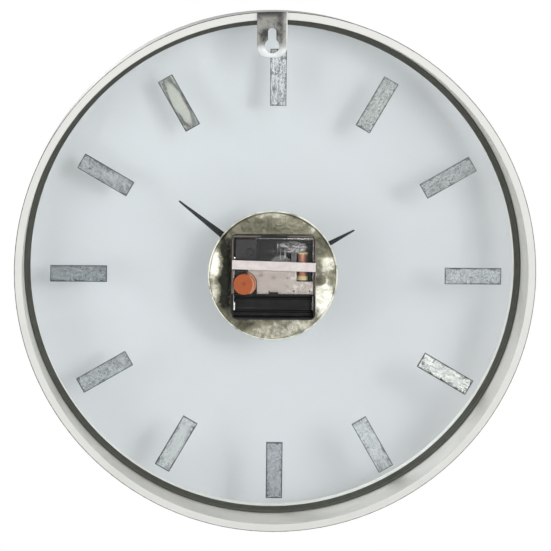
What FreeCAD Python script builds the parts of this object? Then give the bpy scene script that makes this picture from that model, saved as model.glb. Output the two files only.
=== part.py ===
import FreeCAD, Part
import math
import os

# Round glass wall clock with its quartz movement on the rear of the pane.
# Millimetres. +Z is up, the front faces -Y and the wall is on the +Y side.
# The origin is on the hoop's axis, halfway between the front edge and the back of the tab.
# Angles are in the XZ plane from +X towards +Z, in degrees, unless a name says otherwise.

# Hoop
hoop_outer_radius = 171.0
hoop_wall = 5.2
hoop_depth = 63.5
land_width = 3.8
front_recess = 11.0

# Pane and its bead
glass_thickness = 4.0
glass_edge_gap = 0.3
glass_hole_gap = 0.6
bead_width = 4.2
bead_height = 3.6
bead_gap = 0.1
bead_top_share = 0.35

# The dial centre lies below the hoop's axis
dial_drop = 5.8

# Hanger tab and keyhole, with the hole's places measured up from the tab's low end
tab_width = 19.8
tab_length = 30.0
tab_thickness = 1.5
tab_corner_radius = 7.5
tab_side_shift = 4.1
keyhole_entry_radius = 4.75
keyhole_entry_rise = 7.7
keyhole_slot_width = 5.5
keyhole_slot_rise = 8.9

# Hour markers and their glue films, on the front of the pane
marker_count = 12
marker_length = 37.9
marker_width = 11.0
marker_thickness = 3.0
marker_rim_space = 5.1
marker_chamfer = 0.5
marker_ring_side_shift = -2.5
film_thickness = 0.15
film_margin = 0.6

# Hub disc
disc_radius = 43.5
disc_thickness = 1.5
disc_hole_gap = 0.15

# Clamp stack at the centre of the pane
bush_radius = 4.0
bush_bore_radius = 2.55
bush_flange_radius = 5.5
bush_flange_thickness = 0.35
bush_end_beyond_nut = 0.9
rubber_washer_radius = 10.0
rubber_washer_thickness = 1.0
brass_washer_radius = 8.0
brass_washer_thickness = 0.6
washer_bore_gap = 0.1
nut_across_flats = 12.0
nut_thickness = 2.0
nut_sides = 6

# Hands, with their clockwise angles from twelve as seen from the front
minute_hand_length = 79.5
minute_hand_angle = 52.3
hour_hand_length = 62.5
hour_hand_angle = -61.3
hand_root_width = 8.2
hand_tip_width = 1.15
hand_boss_radius = 4.6
hand_thickness = 0.5
hand_gap = 1.5
bush_to_hour_hand = 1.2
hand_nut_radius = 2.4
hand_nut_thickness = 1.6

# Fits
running_gap = 0.05
press_gap = 0.02
seat_gap = 0.1
overrun = 3.0

# Small round pins and bores are cut with flats, and a bore's flats clear its pin's circle
pin_sides = 8
pipe_sides = 20

# Movement case, with places from the arbor and depths from its front face
case_half = 27.9
case_depth = 16.0
case_corner = 4.0
case_wall = 1.3
case_floor = 1.4
partition_share = 0.451
partition_wall = 0.8
bay_ridge_offset = 4.35
bay_ridge_width = 1.6
bay_ridge_height = 1.2
rib_share = 0.376
rib_low_share = 0.4135
rib_foot_share = 0.549
rib_thickness = 0.8
rib_cover_gap = 0.4
post_radius = 1.1
post_neck_radius = 0.8
post_peg_radius = 0.5
core_post_radius = 1.5
bridge_post_shares = ((-0.508, -0.338), (0.113, -0.353), (0.586, 0.308), (-0.902, -0.338))
board_post_shares = ((0.511, 0.842), (0.857, 0.842), (0.857, 0.534))
latch_half_width = 8.6
latch_width = 1.6
latch_gap = 0.35
latch_top_drop = 0.4
tongue_half_width = 3.1
tongue_length = 2.4

# Clear cover, with its sunk pocket for the knob
cover_thickness = 1.2
skirt_thickness = 0.8
skirt_depth = 1.4
skirt_gap = 0.15
pocket_radius = 7.7
pocket_wall = 0.8
pocket_sink = 4.0
pocket_floor_thickness = 0.9

# Label strip on the cover
label_end_gap = 0.1
label_width = 5.95
label_thickness = 0.15
label_share = 0.283
label_tilt = -1.6

# The movement's layers: hour wheel, motion wheels, plate, then four train wheels and the coil
layer_count = 10
first_layer_share = 0.6
layer_space = 0.3
layer_gap = 0.1

# Motion work: minute pinion, reverser, hour wheel and knob pinion
motion_distance_share = 0.361
minute_pinion_teeth = 12
reverser_wheel_teeth = 36
reverser_pinion_teeth = 10
hour_wheel_teeth = 40
knob_pinion_teeth = 18
reverser_direction = -12.5
knob_direction = -12.4
minute_arbor_radius = 1.6
minute_tip_radius = 1.2
hour_pipe_radius = 2.5
hour_pipe_end = 0.2
centre_arbor_radius = 0.95
centre_arbor_reach = 5.0
reverser_stud_radius = 0.7

# Going train: rotor, intermediate, seconds, third and centre wheels
train_distance_share = 0.3195
pinion_teeth = 6
centre_wheel_teeth = 45
third_wheel_teeth = 48
seconds_wheel_teeth = 24
intermediate_wheel_teeth = 45
third_direction = 11.4
intermediate_direction = 125.2
rotor_direction = 240.0
pivot_radius = 0.4
wheel_hub_radius = 1.6
rotor_magnet_radius = 2.5
magnet_bridge_gap = 0.5

# Tooth form, as shares of the module and of the angle from tooth to tooth
tooth_addendum_share = 0.85
tooth_dedendum_share = 1.15
pinion_gap_half_share = 0.2
most_pinion_teeth = 18

# Plates of the movement
middle_plate_low_share = 0.5865
middle_plate_high_share = 0.6353
middle_plate_top_share = 0.3534
bridge_thickness = 0.6
bridge_cover_gap = 0.3
bridge_high_share = 0.6466
bridge_top_share = 0.3609
bridge_coil_side_gap = 0.4
bridge_coil_low_gap = 0.9
bridge_knob_gap = 0.4
plate_edge_gap = 0.3
bearing_radius = 1.3
bearing_height = 0.25

# Step motor
coil_share = 0.7218
coil_radius = 3.3
coil_low_share = 0.0338
coil_high_share = 0.5865
bobbin_tube_radius = 1.9
bobbin_flange_radius = 3.6
bobbin_low_flange = 2.6
bobbin_high_flange = 1.1
core_width = 2.5
core_thickness = 1.0
core_end_gap = 1.5
core_slot_gap = 0.1
stator_thickness = 0.8
stator_arm_width = 3.0
stator_arm_reach = 1.8
stator_coil_gap = 0.3
stator_limb_width = 3.7
stator_eye_radius = 4.3
stator_rotor_gap = 0.4

# Circuit board, chip and crystal
board_rib_gap = 0.1
board_side_gap = 1.3
board_top_gap = 1.5
board_low_share = 0.4474
board_thickness = 0.8
chip_radius = 2.6
chip_height = 0.9
chip_places_share = (0.594, 0.6165)
crystal_radius = 1.0
crystal_length = 6.0
crystal_places_share = (0.7, 0.5865)

# Knob
knob_radius = 6.9
knob_floor_gap = 0.3
knob_head_thickness = 3.8
knob_dimple_radius = 0.7
knob_dimple_depth = 0.6
knob_shaft_radius = 1.2
knob_pivot_radius = 0.6

# Battery contacts
contact_thickness = 0.3
contact_wall_gap = 0.1
blade_half_width = 2.5
blade_floor_gap = 2.0
blade_rim_gap = 2.6
strip_width = 2.0
strip_slot_gap = 0.2
lip_width = 0.6
button_radius = 2.6
button_height = 0.6
leaf_height = 0.7
top_strip_gap = 0.9

# Hoop, pane and case seats worked out from the sizes above
hoop_inner_radius = hoop_outer_radius - hoop_wall
land_radius = hoop_inner_radius - land_width
y_front = -(hoop_depth + tab_thickness) / 2
y_hoop_rear = y_front + hoop_depth
y_glass_front = y_front + front_recess
y_glass_rear = y_glass_front + glass_thickness
y_case_front = y_glass_rear + disc_thickness
tab_low_z = hoop_outer_radius - tab_length
keyhole_entry_z = tab_low_z + keyhole_entry_rise
keyhole_slot_z = keyhole_entry_z + keyhole_slot_rise
marker_inner_radius = land_radius - dial_drop - marker_rim_space - marker_length
case_seat = FreeCAD.Vector(0, y_case_front, -dial_drop)

# Chamber and bay
inner_half = case_half - case_wall
partition_z = -partition_share * inner_half
chamber_low_z = partition_z + partition_wall
cover_low_z = partition_z + partition_wall / 2
bay_low_z = -case_half + case_wall
bay_centre_z = (bay_low_z + partition_z) / 2

# Depths in front of the case
glass_front_depth = -disc_thickness - glass_thickness
rubber_depth = glass_front_depth - rubber_washer_thickness
washer_depth = rubber_depth - brass_washer_thickness
nut_depth = washer_depth - nut_thickness
bush_end_depth = nut_depth - bush_end_beyond_nut
hour_hand_depth = bush_end_depth - bush_to_hour_hand - hand_thickness
minute_hand_depth = hour_hand_depth - hand_gap - hand_thickness
hand_nut_depth = minute_hand_depth - hand_nut_thickness
minute_bore_radius = centre_arbor_radius + running_gap

# Depths in the case
cover_seat_depth = case_depth - cover_thickness
skirt_low_depth = cover_seat_depth - skirt_depth
bridge_depth = skirt_low_depth - bridge_cover_gap - bridge_thickness
bridge_top_depth = bridge_depth + bridge_thickness
layer_pitch = (bridge_depth - case_floor) / layer_count
layer_thickness = layer_pitch - layer_space


def layer_depth(number):
    return case_floor + (first_layer_share + number) * layer_pitch


def across(share):
    """Place across the case's plan from a share of its inner half width."""
    return share * inner_half


hour_wheel_depth = layer_depth(0)
motion_layer_depth = layer_depth(1)
middle_plate_depth = layer_depth(2)
centre_wheel_depth = layer_depth(3)
third_wheel_depth = layer_depth(4)
seconds_wheel_depth = layer_depth(5)
intermediate_wheel_depth = layer_depth(6)
coil_depth = layer_depth(7)
motion_top_depth = motion_layer_depth + layer_thickness
magnet_top_depth = bridge_depth - magnet_bridge_gap
pivot_start_depth = middle_plate_depth + layer_gap
pivot_end_depth = bridge_top_depth - layer_gap
stator_depth = coil_depth + core_thickness / 2
board_depth = intermediate_wheel_depth
board_top_depth = board_depth + board_thickness
strip_low_depth = board_depth - strip_width
rib_top_depth = skirt_low_depth - rib_cover_gap
pocket_floor_depth = case_depth - pocket_sink
knob_head_depth = pocket_floor_depth + pocket_floor_thickness + knob_floor_gap
blade_low_depth = case_floor + blade_floor_gap
blade_high_depth = case_depth - blade_rim_gap

# Plan of the coil, board and contacts
coil_x = -across(coil_share)
coil_low_z = across(coil_low_share)
coil_high_z = across(coil_high_share)
core_low_z = coil_low_z - bobbin_low_flange - stator_arm_width - core_end_gap
core_high_z = coil_high_z + bobbin_high_flange + stator_arm_width
stator_limb_low_x = coil_x + bobbin_flange_radius + stator_coil_gap
stator_limb_high_x = stator_limb_low_x + stator_limb_width
rib_x = across(rib_share)
board_low_x = rib_x + rib_thickness + board_rib_gap
board_high_x = inner_half - board_side_gap
board_low_z = across(board_low_share)
board_high_z = inner_half - board_top_gap
blade_low_z = bay_centre_z - blade_half_width
blade_high_z = bay_centre_z + blade_half_width
strip_outer_x = inner_half - contact_wall_gap
strip_inner_x = strip_outer_x - contact_thickness
top_strip_z = inner_half - top_strip_gap
bridge_posts = [(across(x), across(z)) for x, z in bridge_post_shares]
board_posts = [(across(x), across(z)) for x, z in board_post_shares]


def module_for(distance, teeth_a, teeth_b):
    return 2 * distance / (teeth_a + teeth_b)


def centre_distance(teeth_a, teeth_b, module):
    return (teeth_a + teeth_b) * module / 2


def polar(centre, distance, direction):
    turn = math.radians(direction)
    return (centre[0] + distance * math.cos(turn), centre[1] + distance * math.sin(turn))


def meshing_phase(teeth_a, phase_a, direction, teeth_b):
    """Angle of a tooth of wheel b whose gap takes the tooth of wheel a along direction."""
    pitch_a = 360 / teeth_a
    pitch_b = 360 / teeth_b
    part_a = ((direction - phase_a) / pitch_a) % 1
    return direction + 180 - pitch_b * (1 / 2 - part_a)


# Wheel places in the movement and the modules that fit them
motion_distance = across(motion_distance_share)
motion_module = module_for(motion_distance, minute_pinion_teeth, reverser_wheel_teeth)
hour_module = module_for(motion_distance, reverser_pinion_teeth, hour_wheel_teeth)
knob_distance = centre_distance(knob_pinion_teeth, reverser_wheel_teeth, motion_module)
train_distance = across(train_distance_share)
train_module = module_for(train_distance, pinion_teeth, centre_wheel_teeth)
third_module = module_for(train_distance, pinion_teeth, third_wheel_teeth)
seconds_module = module_for(train_distance, pinion_teeth, seconds_wheel_teeth)
rotor_distance = centre_distance(pinion_teeth, intermediate_wheel_teeth, train_module)
arbor_place = (0, 0)
reverser_place = polar(arbor_place, motion_distance, reverser_direction)
knob_place = polar(reverser_place, knob_distance, knob_direction)
third_place = polar(arbor_place, train_distance, third_direction)
intermediate_place = polar(arbor_place, train_distance, intermediate_direction)
rotor_place = polar(intermediate_place, rotor_distance, rotor_direction)
reverser_phase = meshing_phase(minute_pinion_teeth, 0, reverser_direction, reverser_wheel_teeth)


def cylinder(radius, place, y_low, y_high):
    base = FreeCAD.Vector(place[0], y_low, place[1])
    return Part.makeCylinder(radius, y_high - y_low, base, FreeCAD.Vector(0, 1, 0))


def block(x_low, x_high, y_low, y_high, z_low, z_high):
    corner = FreeCAD.Vector(x_low, y_low, z_low)
    return Part.makeBox(x_high - x_low, y_high - y_low, z_high - z_low, corner)


def rounded_block(x_low, x_high, y_low, y_high, z_low, z_high, corner_radius):
    solid = block(x_low, x_high, y_low, y_high, z_low, z_high)
    upright = [edge for edge in solid.Edges if is_along_y(edge)]
    return solid.makeFillet(corner_radius, upright)


def is_along_y(edge):
    start, end = edge.Vertexes[0].Point, edge.Vertexes[-1].Point
    return abs((end - start).normalize().y) > 1 / 2


def prism(points, y_low, y_high):
    corners = [FreeCAD.Vector(x, y_low, z) for x, z in points]
    face = Part.Face(Part.makePolygon(corners + corners[:1]))
    return face.extrude(FreeCAD.Vector(0, y_high - y_low, 0))


def many_sided(corner_radius, sides, place, y_low, y_high):
    corners = [polar(place, corner_radius, number * 360 / sides) for number in range(sides)]
    return prism(corners, y_low, y_high)


def pin(radius, place, y_low, y_high):
    return many_sided(radius, pin_sides, place, y_low, y_high)


def pipe(radius, place, y_low, y_high):
    return many_sided(radius, pipe_sides, place, y_low, y_high)


def bore(radius, sides, place, y_low, y_high):
    """Cutter whose flats touch the given circle from outside."""
    return many_sided(radius / math.cos(math.pi / sides), sides, place, y_low, y_high)


def revolve_about_y(points):
    """Ring whose section is a list of (radius, y) points."""
    corners = [FreeCAD.Vector(radius, y, 0) for radius, y in points]
    face = Part.Face(Part.makePolygon(corners + corners[:1]))
    return face.revolve(FreeCAD.Vector(0, 0, 0), FreeCAD.Vector(0, 1, 0), 360)


def toothed_disc(teeth, module, phase, place, y_low, y_high):
    """Disc with pointed teeth, which meet at their roots on a wheel but not on a pinion."""
    pitch = 360 / teeth
    pitch_radius = teeth * module / 2
    tip = pitch_radius + tooth_addendum_share * module
    root = pitch_radius - tooth_dedendum_share * module
    gap_sides = (-1, 1) if teeth <= most_pinion_teeth else (0,)
    points = []
    for number in range(teeth):
        middle = phase + number * pitch
        points.append(polar(place, tip, middle))
        for side in gap_sides:
            gap_angle = middle + pitch / 2 + side * pinion_gap_half_share * pitch
            points.append(polar(place, root, gap_angle))
    return prism(points, y_low, y_high)


def joined(first, *others):
    return first.fuse(list(others)).removeSplitter()


def on_case(solid):
    """Move a solid from the movement's own places to its seat behind the disc."""
    solid.translate(case_seat)
    return solid


def make_hoop():
    """Deep ring with a land inside its front edge that the pane seats on."""
    return revolve_about_y([
        (hoop_outer_radius, y_front),
        (land_radius, y_front),
        (land_radius, y_glass_front),
        (hoop_inner_radius, y_glass_front),
        (hoop_inner_radius, y_hoop_rear),
        (hoop_outer_radius, y_hoop_rear),
    ])


def make_glass():
    pane = cylinder(hoop_inner_radius - glass_edge_gap, arbor_place, y_glass_front, y_glass_rear)
    hole = bore(bush_radius + glass_hole_gap, pipe_sides, (0, -dial_drop),
                y_glass_front - overrun, y_glass_rear + overrun)
    return pane.cut(hole)


def make_gasket():
    """Rubber bead in the corner of pane and hoop, with a sloping shoulder."""
    outer = hoop_inner_radius - bead_gap
    return revolve_about_y([
        (outer, y_glass_rear),
        (outer, y_glass_rear + bead_height),
        (outer - bead_top_share * bead_width, y_glass_rear + bead_height),
        (outer - bead_width, y_glass_rear),
    ])


def make_hanger_tab():
    """Steel tab on the hoop's rear edge, its top cut to the hoop's round."""
    y_rear = y_hoop_rear + tab_thickness
    half = tab_width / 2
    plate = block(tab_side_shift - half, tab_side_shift + half, y_hoop_rear, y_rear,
                  tab_low_z, hoop_outer_radius + overrun)
    low_edges = [edge for edge in plate.Edges
                 if is_along_y(edge) and edge.BoundBox.ZMax < tab_low_z + tab_thickness]
    plate = plate.makeFillet(tab_corner_radius, low_edges)
    plate = plate.common(cylinder(hoop_outer_radius, arbor_place, y_hoop_rear - overrun,
                                  y_rear + overrun))
    return plate.cut(keyhole(y_hoop_rear - overrun, y_rear + overrun))


def keyhole(y_low, y_high):
    half = keyhole_slot_width / 2
    entry = cylinder(keyhole_entry_radius, (tab_side_shift, keyhole_entry_z), y_low, y_high)
    top = cylinder(half, (tab_side_shift, keyhole_slot_z), y_low, y_high)
    neck = block(tab_side_shift - half, tab_side_shift + half, y_low, y_high,
                 keyhole_entry_z, keyhole_slot_z)
    return entry.fuse([top, neck])


def marker_block(margin, y_low, y_high):
    """Bar or film at twelve o'clock, shrunk all round by a margin."""
    half = marker_width / 2 - margin
    low_z = marker_inner_radius + margin
    high_z = marker_inner_radius + marker_length - margin
    return block(-half, half, y_low, y_high, low_z, high_z)


def at_hour(solid, hour):
    """Turn a twelve o'clock solid to its hour, clockwise from the front, on the dial."""
    turned = solid.copy()
    turned.rotate(FreeCAD.Vector(0, 0, 0), FreeCAD.Vector(0, 1, 0), hour * 360 / marker_count)
    turned.translate(FreeCAD.Vector(marker_ring_side_shift, 0, -dial_drop))
    return turned


def make_marker():
    y_rear = y_glass_front - film_thickness
    y_face = y_rear - marker_thickness
    bar = marker_block(0, y_face, y_rear)
    face_edges = [edge for edge in bar.Edges if edge.BoundBox.YMax < y_face + marker_chamfer]
    return bar.makeChamfer(marker_chamfer, face_edges)


def make_film():
    return marker_block(film_margin, y_glass_front - film_thickness, y_glass_front)


def make_hub_disc():
    disc = cylinder(disc_radius, arbor_place, -disc_thickness, 0)
    return disc.cut(bore(bush_radius + disc_hole_gap, pipe_sides, arbor_place,
                         -disc_thickness - overrun, overrun))


def make_bush():
    body = pipe(bush_radius, arbor_place, bush_end_depth, case_floor)
    flange = pipe(bush_flange_radius, arbor_place, case_floor, case_floor + bush_flange_thickness)
    hole = bore(bush_bore_radius, pipe_sides, arbor_place, bush_end_depth - overrun,
                case_floor + overrun)
    return joined(body, flange).cut(hole)


def make_washer(outer_radius, depth, thickness):
    hole = bore(bush_radius + washer_bore_gap, pipe_sides, arbor_place, depth - overrun,
                depth + thickness + overrun)
    return pipe(outer_radius, arbor_place, depth, depth + thickness).cut(hole)


def make_hex_nut():
    corner_radius = nut_across_flats / 2 / math.cos(math.pi / nut_sides)
    hole = bore(bush_radius + press_gap, pipe_sides, arbor_place, nut_depth - overrun,
                washer_depth + overrun)
    return many_sided(corner_radius, nut_sides, arbor_place, nut_depth, washer_depth).cut(hole)


def make_hand(length, angle, bore_radius, depth):
    """Tapered blade with a round boss, turned clockwise from twelve."""
    root, tip = hand_root_width / 2, hand_tip_width / 2
    blade = prism([(-root, 0), (root, 0), (tip, length), (-tip, length)],
                  depth, depth + hand_thickness)
    boss = cylinder(hand_boss_radius, arbor_place, depth, depth + hand_thickness)
    hole = bore(bore_radius, pipe_sides, arbor_place, depth - overrun, depth + overrun)
    hand = joined(blade, boss).cut(hole)
    hand.rotate(FreeCAD.Vector(0, 0, 0), FreeCAD.Vector(0, 1, 0), angle)
    return hand


def make_hand_nut():
    """Blind cap nut on the minute arbor's threaded tip."""
    cap = hand_nut_thickness / 2
    hole = bore(minute_tip_radius + press_gap, pin_sides, arbor_place,
                hand_nut_depth + cap - press_gap, minute_hand_depth + overrun)
    return pipe(hand_nut_radius, arbor_place, hand_nut_depth, minute_hand_depth).cut(hole)


def pocket_shape(radius, low_z, y_low, y_high):
    """U-shaped column round the knob that opens to the case's side and down to the bay."""
    column = cylinder(radius, knob_place, y_low, y_high)
    below = block(knob_place[0] - radius, case_half + overrun, y_low, y_high,
                  low_z, knob_place[1])
    beside = block(knob_place[0], case_half + overrun, y_low, y_high,
                   low_z, knob_place[1] + radius)
    return column.fuse([below, beside])


def stepped_post(place):
    """Post that shoulders the middle plate, then the bridge, with a peg through the bridge."""
    foot = pin(post_radius, place, 0, middle_plate_depth)
    neck = pin(post_neck_radius, place, 0, bridge_depth)
    peg = pin(post_peg_radius, place, 0, bridge_top_depth)
    return foot.fuse([neck, peg])


def case_rib():
    """Upright rib with an arm over the third wheel and a slot for the top contact strip."""
    far_x = rib_x + rib_thickness
    foot_z = across(rib_foot_share)
    foot = block(rib_x, far_x, 0, rib_top_depth, foot_z, inner_half)
    arm = block(rib_x, far_x, board_depth, rib_top_depth, across(rib_low_share), foot_z)
    slot = block(rib_x - overrun, far_x + overrun, strip_low_depth - strip_slot_gap,
                 board_depth + strip_slot_gap,
                 top_strip_z - contact_thickness - strip_slot_gap, inner_half + overrun)
    return foot.fuse(arm).cut(slot)


def bay_ridge(z_middle):
    """Low rounded ridge along the bay that cradles the cell."""
    half = bay_ridge_width / 2
    crest = case_floor + bay_ridge_height
    start = FreeCAD.Vector(-inner_half, case_floor, z_middle - half)
    top = FreeCAD.Vector(-inner_half, crest, z_middle)
    end = FreeCAD.Vector(-inner_half, case_floor, z_middle + half)
    foot_low = FreeCAD.Vector(-inner_half, case_floor / 2, z_middle - half)
    foot_high = FreeCAD.Vector(-inner_half, case_floor / 2, z_middle + half)
    edges = [Part.Arc(start, top, end).toShape(), Part.LineSegment(end, foot_high).toShape(),
             Part.LineSegment(foot_high, foot_low).toShape(),
             Part.LineSegment(foot_low, start).toShape()]
    return Part.Face(Part.Wire(edges)).extrude(FreeCAD.Vector(2 * inner_half, 0, 0))


def case_shell():
    """Tray with its chamber, its battery bay and the step that the cover seats on."""
    shell = rounded_block(-case_half, case_half, 0, case_depth, -case_half, case_half, case_corner)
    chamber = block(-inner_half, inner_half, case_floor, case_depth + overrun,
                    chamber_low_z, inner_half)
    bay = block(-inner_half, inner_half, case_floor, case_depth + overrun, bay_low_z, partition_z)
    cover_step = block(-case_half - overrun, case_half + overrun, cover_seat_depth,
                       case_depth + overrun, cover_low_z, case_half + overrun)
    return shell.cut([chamber, bay, cover_step])


def make_case():
    additions = [stepped_post(place) for place in bridge_posts]
    additions += [pin(post_radius, place, 0, board_depth) for place in board_posts]
    additions += [pin(core_post_radius, place, 0, coil_depth - core_thickness / 2)
                  for place in core_post_places()]
    additions += [bay_ridge(bay_centre_z + side * bay_ridge_offset) for side in (-1, 1)]
    additions.append(pin(reverser_stud_radius, reverser_place, 0, middle_plate_depth))
    additions.append(case_rib())
    additions.append(case_latch())
    additions.append(case_tongue())
    shell = joined(case_shell(), *additions)
    bush_hole = bore(bush_radius + press_gap, pipe_sides, arbor_place, -overrun,
                     case_floor + overrun)
    knob_socket = bore(knob_pivot_radius + running_gap, pin_sides, knob_place, case_floor / 2,
                       case_floor + overrun)
    pocket = pocket_shape(pocket_radius + pocket_wall + seat_gap, partition_z,
                          pocket_floor_depth - seat_gap, case_depth + overrun)
    slots = [strip_slot(side) for side in (-1, 1)]
    return shell.cut([bush_hole, knob_socket, pocket] + slots)


def core_post_places():
    half = stator_arm_width / 2
    return ((coil_x, core_low_z + half), (coil_x, core_high_z - half))


def case_latch():
    """Hook at the top edge that stands in the cover's notch."""
    return block(-latch_half_width, latch_half_width, skirt_low_depth,
                 case_depth - latch_top_drop, case_half - latch_width, case_half)


def case_tongue():
    """Snap tongue on the bay's wall that stands in the cover's lower notch."""
    return block(-tongue_half_width, tongue_half_width, bridge_top_depth + plate_edge_gap,
                 case_depth, partition_z, partition_z + tongue_length)


def strip_slot(side):
    x_low, x_high = sorted((side * (strip_inner_x - strip_slot_gap), side * inner_half))
    return block(x_low, x_high, strip_low_depth - strip_slot_gap,
                 board_depth + strip_slot_gap, partition_z - overrun / 2,
                 chamber_low_z + overrun / 2)


def make_cover():
    """Clear plate with a skirt, a notch for each snap and the sunk pocket of the knob."""
    plate = rounded_block(-case_half, case_half, cover_seat_depth, case_depth,
                          -case_half, case_half, case_corner)
    plate = plate.cut(block(-case_half - overrun, case_half + overrun, 0, case_depth + overrun,
                            -case_half - overrun, cover_low_z))
    low_z = chamber_low_z + skirt_gap
    hood = pocket_shape(pocket_radius + pocket_wall, low_z, pocket_floor_depth, case_depth)
    hood = hood.common(block(-case_half, case_half, 0, case_depth, low_z, case_half))
    hollow = pocket_shape(pocket_radius, partition_z - overrun,
                          pocket_floor_depth + pocket_floor_thickness, case_depth + overrun)
    notch_half = latch_half_width + latch_gap
    tongue_half = tongue_half_width + latch_gap
    top_notch = block(-notch_half, notch_half, 0, case_depth + overrun,
                      case_half - latch_width - latch_gap, case_half + overrun)
    low_notch = block(-tongue_half, tongue_half, 0, case_depth + overrun,
                      partition_z - overrun, partition_z + tongue_length + latch_gap)
    bearing = bore(knob_shaft_radius + running_gap, pipe_sides, knob_place, 0, case_depth)
    return joined(plate, cover_skirt(), hood).cut([hollow, top_notch, low_notch, bearing])


def cover_skirt():
    outer_half = inner_half - skirt_gap
    low_z = chamber_low_z + skirt_gap
    outer = block(-outer_half, outer_half, skirt_low_depth, case_depth, low_z, outer_half)
    half = outer_half - skirt_thickness
    inner = block(-half, half, skirt_low_depth - overrun, cover_seat_depth,
                  low_z + skirt_thickness, half)
    return outer.cut(inner)


def make_label():
    half_length, half_width = case_half - label_end_gap, label_width / 2
    strip = block(-half_length, half_length, case_depth, case_depth + label_thickness,
                  -half_width, half_width)
    strip.rotate(FreeCAD.Vector(0, 0, 0), FreeCAD.Vector(0, 1, 0), label_tilt)
    strip.translate(FreeCAD.Vector(0, 0, label_share * case_half))
    return strip


def make_middle_plate():
    plate = block(-across(middle_plate_low_share), across(middle_plate_high_share),
                  middle_plate_depth, middle_plate_depth + layer_thickness,
                  chamber_low_z + plate_edge_gap, across(middle_plate_top_share))
    holes = [bore(post_neck_radius + seat_gap, pin_sides, place, 0, case_depth)
             for place in bridge_posts]
    holes += [bore(pivot_radius + running_gap, pin_sides, place, 0, case_depth)
              for place in (third_place, intermediate_place, rotor_place)]
    holes.append(bore(centre_arbor_radius + running_gap, pin_sides, arbor_place, 0, case_depth))
    return plate.cut(holes)


def make_bridge():
    """Light plate with a raised bearing for each rear pivot, cut away round coil and knob."""
    low_z = chamber_low_z + plate_edge_gap
    low_x = -inner_half + plate_edge_gap
    high_x = across(bridge_high_share)
    high_z = across(bridge_top_share)
    notch_x = coil_x + bobbin_flange_radius + bridge_coil_side_gap
    notch_z = coil_low_z - bobbin_low_flange - bridge_coil_low_gap
    outline = [(low_x, low_z), (high_x, low_z), (high_x, high_z), (notch_x, high_z),
               (notch_x, notch_z), (low_x, notch_z)]
    pivots = (arbor_place, third_place, intermediate_place, rotor_place)
    bearings = [pipe(bearing_radius, place, bridge_depth, bridge_top_depth + bearing_height)
                for place in pivots]
    plate = joined(prism(outline, bridge_depth, bridge_top_depth), *bearings)
    holes = [bore(post_peg_radius + press_gap, pin_sides, place, 0, case_depth)
             for place in bridge_posts]
    holes += [bore(pivot_radius + running_gap, pin_sides, place, 0, case_depth)
              for place in pivots]
    knob_cut = pocket_shape(pocket_radius + pocket_wall + bridge_knob_gap,
                            partition_z - overrun, 0, case_depth)
    return plate.cut(holes + [knob_cut])


def make_minute_arbor():
    """Pinion, pipe and threaded tip in one, with a bore for the centre wheel's arbor."""
    pinion = toothed_disc(minute_pinion_teeth, motion_module, 0, arbor_place,
                          motion_layer_depth, motion_top_depth)
    shank = cylinder(minute_arbor_radius, arbor_place, minute_hand_depth + hand_thickness,
                     motion_layer_depth)
    tip = pin(minute_tip_radius, arbor_place, hand_nut_depth + hand_nut_thickness / 2,
              minute_hand_depth + hand_thickness)
    hole = bore(minute_bore_radius, pin_sides, arbor_place,
                motion_layer_depth - centre_arbor_reach, motion_top_depth + overrun)
    return joined(pinion, shank, tip).cut(hole)


def make_reverser():
    wheel = toothed_disc(reverser_wheel_teeth, motion_module, reverser_phase, reverser_place,
                         motion_layer_depth, motion_top_depth)
    pinion = toothed_disc(reverser_pinion_teeth, hour_module, reverser_direction + 180,
                          reverser_place, hour_wheel_depth - layer_gap, motion_layer_depth)
    hole = cylinder(reverser_stud_radius + running_gap, reverser_place, 0, case_depth)
    return joined(wheel, pinion).cut(hole)


def make_hour_wheel():
    phase = meshing_phase(reverser_pinion_teeth, reverser_direction + 180,
                          reverser_direction + 180, hour_wheel_teeth)
    top = hour_wheel_depth + layer_thickness
    wheel = toothed_disc(hour_wheel_teeth, hour_module, phase, arbor_place,
                         hour_wheel_depth, top)
    hour_pipe = cylinder(hour_pipe_radius, arbor_place, hour_hand_depth - hour_pipe_end, top)
    hole = bore(minute_arbor_radius + 2 * running_gap, pipe_sides, arbor_place,
                hour_hand_depth - overrun, top + overrun)
    return joined(wheel, hour_pipe).cut(hole)


def make_knob():
    """Thumb wheel, shaft and setting pinion in one moulding."""
    phase = meshing_phase(reverser_wheel_teeth, reverser_phase, knob_direction,
                          knob_pinion_teeth)
    head_top = knob_head_depth + knob_head_thickness
    head = cylinder(knob_radius, knob_place, knob_head_depth, head_top)
    dimple = pin(knob_dimple_radius, knob_place, head_top - knob_dimple_depth,
                 head_top + overrun)
    shaft = cylinder(knob_shaft_radius, knob_place, motion_layer_depth, knob_head_depth)
    pivot = pin(knob_pivot_radius, knob_place, case_floor / 2 + layer_gap, motion_layer_depth)
    pinion = toothed_disc(knob_pinion_teeth, motion_module, phase, knob_place,
                          motion_layer_depth, motion_top_depth)
    return joined(head, shaft, pivot, pinion).cut(dimple)


def train_arbor(place, wheel_depth):
    """Arbor with a flatted front end and a round rear one that runs in the bridge."""
    front = pin(pivot_radius, place, pivot_start_depth, wheel_depth)
    rear = cylinder(pivot_radius, place, wheel_depth, pivot_end_depth)
    return front.fuse(rear)


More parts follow.
